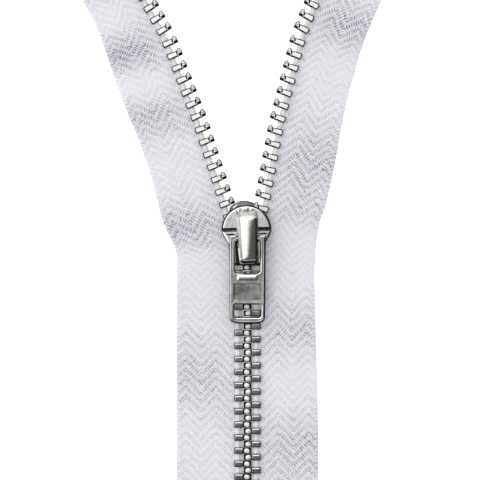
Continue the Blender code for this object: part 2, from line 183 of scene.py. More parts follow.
def dome(bm, centre, radius, height, slot, around, rings=5):
    """The upper part of a round bump, closed below."""
    cx, cy, cz = centre
    first, last = math.asin(-0.15), math.radians(86)
    previous = None
    for k in range(rings):
        a = first + (last - first) * k / (rings - 1)
        level = []
        for i in range(around):
            b = TAU * i / around
            x, y = radius * math.cos(a) * math.cos(b), radius * math.cos(a) * math.sin(b)
            level.append(bm.verts.new((cx + x, cy + y, cz + height * math.sin(a))))
        if previous:
            ring_faces(bm, previous, level, slot)
        else:
            bm.faces.new(list(reversed(level))).material_index = slot
        previous = level
    bm.faces.new(previous).material_index = slot


def grid_faces(bm, rows, slot, skip=None):
    for j in range(len(rows) - 1):
        for i in range(len(rows[0]) - 1):
            if skip and skip(i, j):
                continue
            quad = (rows[j][i], rows[j][i + 1], rows[j + 1][i + 1], rows[j + 1][i])
            bm.faces.new(quad).material_index = slot


def finish_piece(name, bm, materials, sharp=32, matrix=None):
    """A mesh object in metres, its normals outwards, smooth but for edges sharper than the angle."""
    if matrix is not None:
        bm.transform(matrix)
        if matrix.determinant() < 0:
            bmesh.ops.reverse_faces(bm, faces=bm.faces[:])
    bmesh.ops.remove_doubles(bm, verts=bm.verts[:], dist=1e-4)
    bmesh.ops.recalc_face_normals(bm, faces=bm.faces[:])
    bm.transform(Matrix.Diagonal((MM, MM, MM, 1)))
    mesh = bpy.data.meshes.new(name)
    bm.to_mesh(mesh)
    bm.free()
    for m in materials:
        mesh.materials.append(m)
    mesh.polygons.foreach_set("use_smooth", [True] * len(mesh.polygons))
    mesh.set_sharp_from_angle(angle=math.radians(sharp))
    obj = bpy.data.objects.new(name, mesh)
    bpy.context.scene.collection.objects.link(obj)
    return obj


# ---------------------------------------------------------------- materials


class Graph:
    """A short way to write a material's nodes."""

    def __init__(self, name):
        self.material = bpy.data.materials.new(name)
        self.material.use_nodes = True
        self.tree = self.material.node_tree
        self.shader = self.tree.nodes["Principled BSDF"]

    def add(self, kind, inputs=None, out=0, **settings):
        node = self.tree.nodes.new(kind)
        for key, value in settings.items():
            setattr(node, key, value)
        for key, value in (inputs or {}).items():
            self.put(node.inputs[key], value)
        return node.outputs[out]

    def put(self, socket, value):
        if isinstance(value, bpy.types.NodeSocket):
            self.tree.links.new(value, socket)
        else:
            socket.default_value = value

    def math(self, operation, *values):
        return self.add("ShaderNodeMath", dict(enumerate(values)), operation=operation)

    def noise(self, where, scale, detail=3.0, roughness=0.6):
        inputs = {"Vector": where, "Scale": scale, "Detail": detail, "Roughness": roughness}
        return self.add("ShaderNodeTexNoise", inputs)

    def remap(self, value, a, b, c, d):
        inputs = {"Value": value, "From Min": a, "From Max": b, "To Min": c, "To Max": d}
        return self.add("ShaderNodeMapRange", inputs)

    def mix(self, share, a, b):
        inputs = {"Factor": share, 6: a, 7: b}
        return self.add("ShaderNodeMix", inputs, out=2, data_type="RGBA")

    def bump(self, height, strength, distance):
        inputs = {"Height": height, "Strength": strength, "Distance": distance}
        return self.add("ShaderNodeBump", inputs)


def rgb(r, g, b):
    return (r, g, b, 1.0)


def metal(
    name, dark, light, rough, grain=900.0, stretch=(1, 1, 1), bump=0.15, pits=0.3, metallic=1.0
):
    """Nickel plating: colour and gloss vary with worn patches, fine grain and small pits."""
    g = Graph(name)
    where = g.add("ShaderNodeTexCoord", out=3)
    drawn = g.add("ShaderNodeMapping", {"Vector": where, "Scale": stretch})
    patches = g.noise(where, grain * 0.35, 2.0)
    fine = g.noise(drawn, grain * 2.2, 4.0, 0.7)
    spots = g.remap(g.noise(where, grain * 1.6, 2.0), 0.60, 0.72, 0.0, pits)
    worn = g.math("ADD", g.math("MULTIPLY", patches, 0.6), g.math("MULTIPLY", fine, 0.4))
    colour = g.mix(g.remap(worn, 0.35, 0.65, 0, 1), dark, light)
    colour = g.mix(spots, colour, rgb(*(0.45 * c for c in dark[:3])))
    g.put(g.shader.inputs["Base Color"], colour)
    g.put(g.shader.inputs["Metallic"], metallic)
    g.put(g.shader.inputs["Roughness"], g.remap(fine, 0.3, 0.7, rough * 0.75, rough * 1.35))
    g.put(g.shader.inputs["Normal"], g.bump(fine, bump, 0.00004))
    return g.material


def woven(name, pale, ground, thread, contrast):
    """Herringbone twill: UVs are millimetres from the chain's middle, and along the tape.

    The attribute "shade" is painted shade from the folds: it strengthens the thread marks and darkens the
    cloth's colour. The bright specks between the marks are painted glints.
    """
    g = Graph(name)
    uv = g.add("ShaderNodeUVMap", uv_map="UVMap")
    parts = g.add("ShaderNodeSeparateXYZ", {0: uv}).node
    u, v = parts.outputs[0], parts.outputs[1]

    def drift(scale, amount, detail=2.0):
        return g.math("MULTIPLY", g.math("SUBTRACT", g.noise(uv, scale, detail), 0.5), amount)

    along = g.math("ADD", v, g.math("ADD", drift(0.45, 1.3), drift(2.2, 0.75)))
    across = g.math("ADD", u, drift(1.5, 0.9))
    fold = g.math("PINGPONG", g.math("SUBTRACT", across, 0.2), 3.4)
    line = g.math("DIVIDE", g.math("SUBTRACT", along, g.math("MULTIPLY", fold, 1.05)), 0.86)
    row = g.math("FLOOR", line)
    dash = g.math("ADD", g.math("DIVIDE", fold, 0.98), g.math("MULTIPLY", row, 0.42))

    def band(value, inner, outer):
        centred = g.math("ABSOLUTE", g.math("SUBTRACT", g.math("FRACT", value), 0.5))
        return g.remap(centred, inner, outer, 1.0, 0.0)

    tick = g.math("MULTIPLY", band(line, 0.12, 0.40), band(dash, 0.16, 0.44))
    # painted glints: bright specks of yarn highlight between the thread marks
    painted_glint = g.math("MULTIPLY", band(g.math("ADD", line, 0.5), 0.04, 0.26),
                   band(g.math("ADD", dash, 0.35), 0.14, 0.36))
    selvage = band(g.math("DIVIDE", along, SELVAGE), 0.06, 0.26)
    edge = g.remap(u, 15.0, 15.4, 0.0, 1.0)
    mask = g.math("ADD", g.math("MULTIPLY", tick, g.math("SUBTRACT", 1.0, edge)),
                  g.math("MULTIPLY", selvage, g.math("MULTIPLY", edge, 0.8)))
    shade = g.add("ShaderNodeAttribute", out=2, attribute_name="shade")
    patch = g.remap(g.noise(uv, 0.35, 2.0), 0.36, 0.64, 0.55, 1.1)
    # the thread marks show more where the painted fold shade is
    strength = g.math("MULTIPLY", patch, g.math("ADD", 0.20, g.math("MULTIPLY", shade, contrast)))
    grain = g.noise(uv, 5.0, 3.0, 0.7)
    shown = g.math("MULTIPLY", g.math("MULTIPLY", mask, strength), g.remap(grain, 0.3, 0.7, 0.6, 1.2))
    base = g.mix(g.remap(grain, 0.3, 0.7, 0.0, 1.0), ground, pale)
    # painted shade: the cloth's colour darkens where a fold turns from the light
    base = g.mix(g.remap(shade, 0.3, 1.5, 0.0, 0.50), base, rgb(0.42, 0.40, 0.46))
    colour = g.mix(shown, base, thread)
    bright = g.math("MULTIPLY", g.math("MULTIPLY", painted_glint, strength), 0.8)
    colour = g.mix(bright, colour, rgb(0.97, 0.97, 0.98))
    g.put(g.shader.inputs["Base Color"], colour)
    g.put(g.shader.inputs["Roughness"], g.remap(grain, 0.3, 0.7, 0.72, 0.9))
    g.put(g.shader.inputs["Sheen Weight"], 0.15)
    g.put(g.shader.inputs["Specular IOR Level"], 0.25)
    height = g.math("ADD", g.math("MULTIPLY", mask, -0.8), g.math("MULTIPLY", grain, 0.5))
    g.put(g.shader.inputs["Normal"], g.bump(height, 0.5, 0.00012))
    return g.material


DRAWN = (1, 0.35, 1)  # grain drawn out along the chain
# The teeth's nickel in three painted tones: a near-white copy for tops and beads (painted highlight), a mid
# grey for slopes turned from the light (painted half shade), and a near-black copy for sides, necks and
# outlines (painted shade).
PAINTED_HIGHLIGHT = metal(
    "tooth_face_painted_highlight", rgb(0.84, 0.84, 0.83), rgb(1.0, 1.0, 0.99), 0.28, grain=1100, pits=0.6, metallic=0.35
)
PAINTED_HALF_SHADE = metal("tooth_grey_painted_half_shade", rgb(0.30, 0.30, 0.30), rgb(0.74, 0.74, 0.73), 0.34, grain=1200, bump=0.3)
PAINTED_SHADE_FLANK = metal("tooth_flank_painted_shade", rgb(0.025, 0.025, 0.026), rgb(0.07, 0.07, 0.07), 0.55, bump=0.2)
PLATE = metal(
    "slider_plate", rgb(0.50, 0.50, 0.49), rgb(0.86, 0.86, 0.84), 0.26, grain=1000, stretch=DRAWN,
    bump=0.5, pits=0.5
)
RIM = metal("slider_rim", rgb(0.80, 0.80, 0.78), rgb(0.95, 0.95, 0.93), 0.16)
# Painted shade: slider_side_painted_shade is a darker copy of the plate's metal for side walls and shaded
# hollows, and slider_painted_shade is a near-black copy for outlines, gaps and hollows in shadow.
PAINTED_SHADE_SIDE = metal("slider_side_painted_shade", rgb(0.20, 0.20, 0.20), rgb(0.36, 0.36, 0.35), 0.28)
PAINTED_SHADE = metal("slider_painted_shade", rgb(0.012, 0.012, 0.012), rgb(0.05, 0.05, 0.05), 0.5)
CROWN = metal("crown_polish", rgb(0.66, 0.66, 0.63), rgb(0.84, 0.84, 0.80), 0.17, grain=700, pits=0.25)
PULL = metal(
    "pull_face", rgb(0.34, 0.34, 0.34), rgb(0.60, 0.60, 0.59), 0.34, grain=1000, stretch=DRAWN,
    bump=0.4, pits=0.5
)
WALL = metal("crown_wall", rgb(0.40, 0.40, 0.39), rgb(0.58, 0.58, 0.57), 0.42)
PANEL = metal(
    "pull_stipple", rgb(0.14, 0.14, 0.14), rgb(0.62, 0.62, 0.61), 0.36, grain=1150, bump=1.0, pits=0.9
)
CLOTH = woven(
    "herringbone_tape", rgb(0.89, 0.875, 0.92), rgb(0.72, 0.70, 0.765), rgb(0.16, 0.15, 0.20), 0.66
)
CORD = woven("bead_cord", rgb(0.92, 0.90, 0.925), rgb(0.80, 0.775, 0.81), rgb(0.40, 0.38, 0.42), 0.35)


# ---------------------------------------------------------------- the places of things at rest


def side_matrix(side, segment):
    """Where a rigid length of the open side stands: its hinges' turns, one after the other."""
    out = Matrix.Identity(4)
    for i in range(SEGMENTS.index(segment) + 1):
        x, y, bend = PIVOTS[side][i]
        pivot = Vector((SIGN[side] * x, y, 0))
        turn = Matrix.Rotation(math.radians(-SIGN[side] * bend), 4, "Z")
        out = out @ Matrix.Translation(pivot) @ turn @ Matrix.Translation(-pivot)
    return out


def tooth_y(side, n):
    return FIRST_TOOTH[side] + n * PITCH


def segment_of(n):
    return SEGMENTS[0] if n <= 10 else SEGMENTS[1] if n <= 17 else SEGMENTS[2]


def smooth(t):
    t = np.clip(t, 0, 1)
    return t * t * (3 - 2 * t)


# The outer edges of the tapes at rest, bottom to top, as (X, Y).
EDGE = {
    "left": [(-15.95, -60), (-15.95, -6.1), (-16.3, -3.7), (-17.6, -1.3), (-19.2, 2.2), (-20.4, 7.0),
             (-21.6, 11.8), (-23.1, 16.3), (-25.0, 21.5), (-27.0, 26.3), (-28.9, 31.2), (-30.7, 36.3),
             (-32.2, 41.2), (-33.6, 44.9), (-35.1, 48.1), (-37.2, 51.8)],
    "right": [(16.09, -60), (16.09, -44.8), (15.94, -34.4), (15.6, -24.1), (15.4, -17.2), (15.26, -10.3),
              (15.46, -6.1), (15.73, -2.7), (16.43, 2.3), (17.47, 4.2), (18.5, 8.4), (19.54, 13.2),
              (20.35, 17.3), (21.05, 21.5), (21.95, 26.3), (23.0, 31.1), (24.4, 35.6), (25.74, 40.5),
              (27.3, 44.9), (28.85, 48.4),
              (30.36, 51.8)],
}


def swing(side, x, v):
    """Cloth at x from the chain's middle and v along it, turned out with the open side, softly outwards."""
    s = SIGN[side]
    px, py = s * x, np.array(v, float)
    for i in (2, 1, 0):
        hx, hy, bend = PIVOTS[side][i]
        length = 3.0 + 0.9 * np.clip(x - 3.0, 0, None)
        a = np.radians(-s * bend) * smooth((v - hy) / length + 0.5)
        dx, dy = px - s * hx, py - hy
        px, py = s * hx + dx * np.cos(a) - dy * np.sin(a), hy + dx * np.sin(a) + dy * np.cos(a)
    return px, py


def edge_shift(side, v):
    """How far the outer edge stands from a stiff tape's, along X."""
    x, y = swing(side, np.full_like(v, TAPE_EDGE), v)
    points = EDGE[side]
    want = np.interp(y, [p[1] for p in points], [p[0] for p in points])
    shift = (want - x) * (1 - smooth((y - STRAIGHT_FROM) / 9))
    kernel = np.hanning(23)
    return np.convolve(np.pad(shift, 11, mode="edge"), kernel / kernel.sum(), mode="valid")


# How the loose half of each tape tilts along its length: (place, tilt), 1 being turned away from the light.
TILTS = {
    "left": [(-83, 0), (-60, -0.1), (-50, -0.3), (-42, 0), (-33.6, 0.5), (-24, 0), (-9.5, -0.7), (-2, 0.1),
             (3.4, 0.9), (8, 0.1), (16.6, -0.7), (24, 0), (30.6, 0.7), (34, 0), (37.6, -0.9), (41.5, 0.2),
             (45.8, 1.1), (50, 0.3), (56, -0.6), (64, 0.3), (72, -0.2), (76, 0)],
    "right": [(-83, 0), (-60, 0.1), (-48, 0.6), (-41, 0), (-34, -0.6), (-28, 0), (-22.5, 0.5), (-16, 0),
              (-9.5, -0.6), (-1.4, -0.6), (4.6, 0.3), (10, 0.3), (17, 0.7), (24, 0.2), (30, -0.1),
              (37.8, -0.7),
              (44, 0), (50.6, 0.9), (56, 0.1), (62, -0.6), (70, 0.2), (76, 0)],
}
STATION = np.arange(-86, 79, 0.25)


def fold_profile(side):
    """The tilt and the height of the loose half of the tape, at each station along it."""
    knots = TILTS[side]
    kernel = np.hanning(15)
    tilt = np.interp(STATION, [k[0] for k in knots], [k[1] for k in knots])
    tilt = np.convolve(np.pad(tilt, 7, mode="edge"), kernel / kernel.sum(), mode="valid")
    height = np.cumsum(tilt) * 0.25 * 0.30
    wide = np.hanning(161)
    height = height - np.convolve(np.pad(height, 80, mode="edge"), wide / wide.sum(), mode="valid")
    return tilt, 1.7 * np.tanh(height / 1.7)


PROFILE = {side: fold_profile(side) for side in SIGN}
LEAN = {"left": 0.25, "right": 0.1}


def cloth_z(side, x, v):
    """Height of the tape's middle: flat by the chain, folded towards its outer edge."""
    u = np.clip((x - 4.0) / (TAPE_EDGE - 4.0), 0, 1)
    z = np.interp(v - LEAN[side] * (x - 10), STATION, PROFILE[side][1]) * u ** 0.9
    z = z + 0.08 * u * np.sin(v / 3.1 + x * 0.35) + 0.04 * u * np.sin(v / 1.7 - x * 0.6)
    return TAPE_Z + z


def painted_cloth_shade(side, x, v):
    """How much painted shade the weave and the cloth's colour get: most where a fold turns from the light.
    """
    tilt = np.interp(v - LEAN[side] * (x - 10), STATION, PROFILE[side][0])
    return np.clip(0.40 + tilt * np.clip((x - 2.0) / 6.0, 0, 1), 0.0, 1.5)


def make_tape(side, name, v0, v1, replaced):
    """One length of tape: a thin woven solid with a scalloped selvage, with its bead cord."""
    xs = np.concatenate([np.linspace(TAPE_INNER, 3.0, 5), np.linspace(3.3, TAPE_EDGE - 0.25, 38),
                         [TAPE_EDGE - 0.08, TAPE_EDGE]])
    vs = np.linspace(v0, v1, int((v1 - v0) / 0.3) + 1)
    gx, gv = np.meshgrid(xs, vs)
    # below the slider the cloth reaches under the teeth, almost to the chain's middle
    inner = TAPE_INNER - 0.95 * smooth((-5.0 - gv) / 1.5)
    gx = np.where(gx < 3.0, 3.0 - (3.0 - gx) / (3.0 - TAPE_INNER) * (3.0 - inner), gx)
    scalloped = gx + np.where(gx > 15.3, 0.05 * np.cos(TAU * gv / SELVAGE), 0)
    px, py = swing(side, scalloped, gv)
    px = px + edge_shift(side, vs)[:, None] * np.clip((gx - 3.5) / (TAPE_EDGE - 3.5), 0, 1)
    z = cloth_z(side, gx, gv)
    thick = 0.25 * (1 - 0.6 * smooth((gx - 15.4) / 0.55))
    bm = bmesh.new()
    uv_layer = bm.loops.layers.uv.new("UVMap")
    # the painted shade of the folds, kept on each vertex for the cloth material
    shade = bm.verts.layers.float.new("shade")
    painted_shade_amount = painted_cloth_shade(side, gx, gv)
    sheets = []
    for offset in (1, -1):
        rows = [[bm.verts.new((px[j, i], py[j, i], z[j, i] + offset * thick[j, i])) for i in range(len(xs))]
                for j in range(len(vs))]
        grid_faces(bm, rows, 0)
        sheets.append(rows)
    top, bottom = sheets
    rim = [(j, len(xs) - 1) for j in range(len(vs))]
    for cells in (rim, [(j, 0) for j in range(len(vs))]):
        for a, b in zip(cells, cells[1:]):
            bm.faces.new((top[a[0]][a[1]], top[b[0]][b[1]], bottom[b[0]][b[1]], bottom[a[0]][a[1]]))
    for j in (0, -1):
        for i in range(len(xs) - 1):
            bm.faces.new((top[j][i], top[j][i + 1], bottom[j][i + 1], bottom[j][i]))
    place = {}
    for rows in sheets:
        for j in range(len(vs)):
            for i in range(len(xs)):
                place[rows[j][i]] = (gx[j, i], vs[j])
                rows[j][i][shade] = painted_shade_amount[j, i]
    for f in bm.faces:
        for corner in f.loops:
            corner[uv_layer].uv = place[corner.vert]
    obj = finish_piece(name, bm, [CLOTH], sharp=60)
    cord = make_bead(side, name + "_bead", v0, v1)
    for piece in (obj, cord):
        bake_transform(piece)
    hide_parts(*replaced)
    return obj


def make_bead(side, name, v0, v1):
    """The thick bead woven into the tape's inner edge, wrapped with yarn."""
    vs = np.linspace(v0, v1, int((v1 - v0) / 0.22) + 1)
    around = 14
    bm = bmesh.new()
    uv_layer = bm.loops.layers.uv.new("UVMap")
    rows, place = [], {}
    for v in vs:
        row = []
        for i in range(around + 1):
            a = TAU * i / around
            r = BEAD_RADIUS + 0.05 * math.cos(2 * a - TAU * v / 1.1)
            x = BEAD_X + r * math.cos(a)
            px, py = swing(side, np.array([x]), np.array([v]))
            vert = bm.verts.new((px[0], py[0], TAPE_Z + r * math.sin(a)))
            place[vert] = (x + 5 * a / TAU, v)
            row.append(vert)
        rows.append(row)
    grid_faces(bm, rows, 0)
    for f in bm.faces:
        for corner in f.loops:
            corner[uv_layer].uv = place[corner.vert]
    for row in (rows[0], rows[-1]):
        bm.faces.new(row[:-1])
    return finish_piece(name, bm, [CORD], sharp=80)


def tapes(side):
    """The three lengths of one tape, each blended across the hinge inside it."""
    y1 = tooth_y(side, 5) + PITCH / 2
    y2 = tooth_y(side, 14) + PITCH / 2
    make_tape(side, f"{side}_tape_lower_cloth", LOW_END, y1,
              (f"{side}_lower_tape", f"{side}_lower_open_tape"))
    make_tape(side, f"{side}_tape_middle_cloth", y1, y2,
              (f"{side}_middle_open_tape",))
    make_tape(side, f"{side}_tape_upper_cloth", y2, HIGH_END,
              (f"{side}_upper_open_tape",))


# ---------------------------------------------------------------- teeth


def open_tooth(bm):
    """A tooth of the left row seen by itself: a leg clamped on the bead, and a head with a nib.

    The nib is on the head's upper half, and passes over the lower half of the next tooth's head.
    """
    leg = rounded([(-3.0, -0.74), (-0.52, -0.72), (-0.52, 0.62), (-3.0, 0.68)], [0.3, 0.1, 0.1, 0.3], 4)
    rings = [(0.15, 1.0, 2), (0, 1.15, 2), (0, 3.2, 2), (0.12, 3.38, 2), (0.23, 3.46, 2), (0.26, 3.48, 0),
             (0.3, 3.48, 0)]
    plate(bm, leg, rings)
    # the head's lower half and the block under it are all painted shade; the upper head's top is painted
    # half shade, and the nib and cheek tops are painted highlight
    lower = rounded(
        [(-0.60, -0.66), (0.40, -0.66), (0.57, -0.48), (0.58, 0.3), (0.44, 0.62), (-0.60, 0.62)],
        [0.05, 0.12, 0.14, 0.2, 0.1, 0.05], 3)
    plate(bm, lower, [(0.15, 1.05, 2), (0, 1.2, 2), (0, 1.9, 2), (0.1, 2.0, 2), (0.14, 2.0, 2)])
    plate(bm, box_loop(-0.5, 0.4, -0.12, 0.48, 0.1, 2), [(0, 1.5, 2), (0, 2.6, 2)])
    upper = rounded(
        [(-0.60, -0.72), (-0.50, -0.30), (0.45, -0.24), (0.58, -0.1), (0.60, 0.2), (0.50, 0.66),
         (0.26, 1.04), (-0.16, 1.08), (-0.50, 0.74), (-0.60, 0.5)],
        [0.05, 0.1, 0.1, 0.12, 0.2, 0.2, 0.2, 0.2, 0.15, 0.05], 3)
    upper_rings = [(0.05, 2.07, 2), (0, 2.25, 2), (0, 3.2, 2), (0.14, 3.38, 2), (0.18, 3.42, 1),
                   (0.22, 3.42, 1)]
    plate(bm, upper, upper_rings)
    nib = rounded([(-0.02, 0.18), (0.24, 0.48), (0.02, 0.92), (-0.26, 0.60)], 0.1, 3)
    plate(bm, nib, [(0, 3.35, 1), (0.02, 3.47, 1), (0.06, 3.53, 0), (0.08, 3.53, 0)])
    cheek = rounded([(-0.52, -0.16), (0.14, -0.12), (0.20, 0.02), (-0.16, 0.2), (-0.52, 0.12)], 0.08, 3)
    plate(bm, cheek, [(0, 3.35, 1), (0.02, 3.45, 0), (0.05, 3.49, 0), (0.07, 3.49, 0)])


def closed_tooth(bm, y, bright):
    """A tooth of the left row in the closed chain: a ridged leg, a neck in painted shade, and a bead with a
    painted highlight on its top.
    """
    leg = box_loop(-2.9, -0.80, y - 0.72, y + 0.72, 0.2, 4)
    rings = [(0.15, 1.0, 2), (0, 1.15, 2), (0, 3.22, 2), (0.17, 3.36, 2), (0.2, 3.5, 1)]
    # the leg's top is painted highlight above painted_highlight_from, and all of it when bright is set
    painted_highlight_from = y - 1 if bright else y + 0.4
    ridged_leg(bm, leg, rings, y + 0.34, painted_highlight_from)
    neck = box_loop(-1.05, 0.95, y - 0.71, y + 0.64, 0.12, 3)
    plate(bm, neck, [(0.1, 1.05, 2), (0, 1.15, 2), (0, 2.75, 2), (0.1, 2.85, 2), (0.14, 2.85, 2)])
    bead = rounded(
        [(-0.66, -0.42), (0.1, -0.60), (0.60, -0.40), (0.54, 0.36), (-0.1, 0.60), (-0.62, 0.42)], 0.22, 4)
    bead = [(px - 0.04, y + py) for px, py in bead]
    bead_rings = [(0, 2.8, 2), (0.0, 3.0, 2), (0.05, 3.18, 1), (0.09, 3.24, 0), (0.30, 3.33, 0),
                  (0.36, 3.33, 0)]
    plate(bm, bead, bead_rings)


def ridged_leg(bm, outer, rings, ridge_y, painted_highlight_from):
    """A leg whose top slopes to both sides of a ridge; the top faces above painted_highlight_from get the
    painted highlight, the rest painted half shade.
    """
    levels = []
    for d, z, _ in rings[:-1]:
        levels.append([bm.verts.new((px, py, z)) for px, py in inset(outer, d)])
    d, z, _ = rings[-1]
    levels.append([bm.verts.new((min(max(px, -2.55), -1.1), ridge_y, z)) for px, py in inset(outer, d)])
    for low, high, ring in zip(levels, levels[1:], rings[1:]):
        n = len(low)
        for i in range(n):
            j = (i + 1) % n
            f = bm.faces.new((low[i], low[j], high[j], high[i]))
            f.material_index = ring[2]
            if ring is rings[-1] and (low[i].co.y + low[j].co.y) / 2 > painted_highlight_from:
                f.material_index = 0
    bm.faces.new(list(reversed(levels[0]))).material_index = 2


# by slot: painted highlight, painted half shade, painted shade
TOOTH_METALS = [PAINTED_HIGHLIGHT, PAINTED_HALF_SHADE, PAINTED_SHADE_FLANK]
MIRROR = Matrix.Diagonal((-1, 1, 1, 1))

# The crimped teeth lean a few degrees from square on their bead, and sit a little off their places.
LEANS = {"left": 2.5, "right": 5.5}
SEAT = {"left": (0.06, -0.15), "right": (0.0, -0.30)}
CLOSED_SHIFT = {"left": 0.03, "right": 0.18}
CLOSED_RISE = 0.2
HIDDEN_RISE = -0.15  # the last closed tooth, under the slider, leaves room for the open tooth after it


def teeth(side):
    s = SIGN[side]
    flip = MIRROR if side == "right" else Matrix.Identity(4)
    outwards, up = SEAT[side]
    turn = Matrix.Rotation(math.radians(-s * LEANS[side]), 4, "Z")
    to_bead = Matrix.Translation((-s * BEAD_X, 0, 0))
    for n in range(1, OPEN_TEETH + 1):
        bm = bmesh.new()
        open_tooth(bm)
        seat = Matrix.Translation((s * (BEAD_X + outwards), tooth_y(side, n) + up, 0))
        where = side_matrix(side, segment_of(n)) @ seat @ turn @ to_bead @ flip
        obj = finish_piece(f"{side}_open_tooth_{n:02d}", bm, TOOTH_METALS, matrix=where)
        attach(obj, f"{side}_{segment_of(n)}_side")
        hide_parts(f"{side}_tooth_{n:02d}")
    bm = bmesh.new()
    for n in range(1 - CLOSED_TEETH, 1):
        # one tooth is seen through the tab's window, and its whole leg top gets a painted highlight
        rise = CLOSED_RISE if n else HIDDEN_RISE
        closed_tooth(bm, tooth_y(side, n) + rise, bright=side == "left" and n == -1)
    shift = Matrix.Translation((CLOSED_SHIFT[side], 0, 0))
    obj = finish_piece(f"{side}_closed_teeth", bm, TOOTH_METALS, matrix=shift @ flip)
    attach(obj, "chain")
    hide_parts(f"{side}_lower_teeth")


def stops():
    for side in SIGN:
        s = SIGN[side]
        y = tooth_y(side, OPEN_TEETH) + STOP_AFTER
        bm = bmesh.new()
        plate(bm, box_loop(0.25, 3.0, y - 1.35, y + 1.35, 0.35, 5),
              [(0.3, 0.85, 2), (0, 1.1, 2), (0, 3.3, 2), (0.2, 3.55, 1), (0.5, 3.7, 0)],
              bosses=[(box_loop(0.9, 2.4, y - 0.7, y + 0.7, 0.25, 4), [(0, 3.7, 1), (0.2, 3.58, 1)])])
        where = side_matrix(side, "upper") @ (MIRROR if s < 0 else Matrix.Identity(4))
        obj = finish_piece(f"{side}_top_stop_clamp", bm, TOOTH_METALS, matrix=where)
        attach(obj, f"{side}_upper_side")
        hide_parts(f"{side}_top_stop")
    low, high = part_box("bottom_stop")
    x0, y0, z0 = (c / MM for c in low)
    x1, y1, z1 = (c / MM for c in high)
    bm = bmesh.new()
    mid = (y0 + y1) / 2
    dent = box_loop(x0 + 1, x1 - 1, mid - 0.6, mid + 0.6, 0.4, 5)
    plate(bm, box_loop(x0, x1, y0, y1, 0.5, 6),
          [(0.35, z0, 2), (0, z0 + 0.3, 2), (0, z1 - 0.45, 2), (0.2, z1 - 0.15, 1), (0.5, z1, 0)],
          bosses=[(dent, [(0, z1, 1), (0.25, z1 - 0.2, 1)])])
    obj = finish_piece("bottom_stop_clamp", bm, TOOTH_METALS)
    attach(obj, "chain")
    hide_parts("bottom_stop")


# ---------------------------------------------------------------- slider

SLIDER_METALS = [PLATE, RIM, PAINTED_SHADE_SIDE, PAINTED_SHADE]
TAIL = [(-5.55, -0.5), (-4.1, -3.2), (-4.1, -7.1), (-3.3, -7.9), (3.3, -7.9), (4.1, -7.1), (4.1, -3.2)]
REAR = [(5.55, -0.5), *circle_arc(0, 0, 5.6, 0, 50, 12), (2.7, 5.4), (1.4, 6.3), (0.2, 6.6), (-1.3, 6.6),
        (-2.7, 5.9), *circle_arc(0, 0, 5.6, 130, 180, 12), *TAIL]
FRONT = [(5.6, -0.5), *circle_arc(0, 0, 5.62, 0, 180, 48), *TAIL]
STEP = [*circle_arc(0, 0, 5.56, 0, 180, 46), (-5.54, -0.30), (5.54, -0.30)]
YAW = Matrix.Translation((-0.12, 0, 0)) @ Matrix.Rotation(math.radians(1.6), 4, "Z")


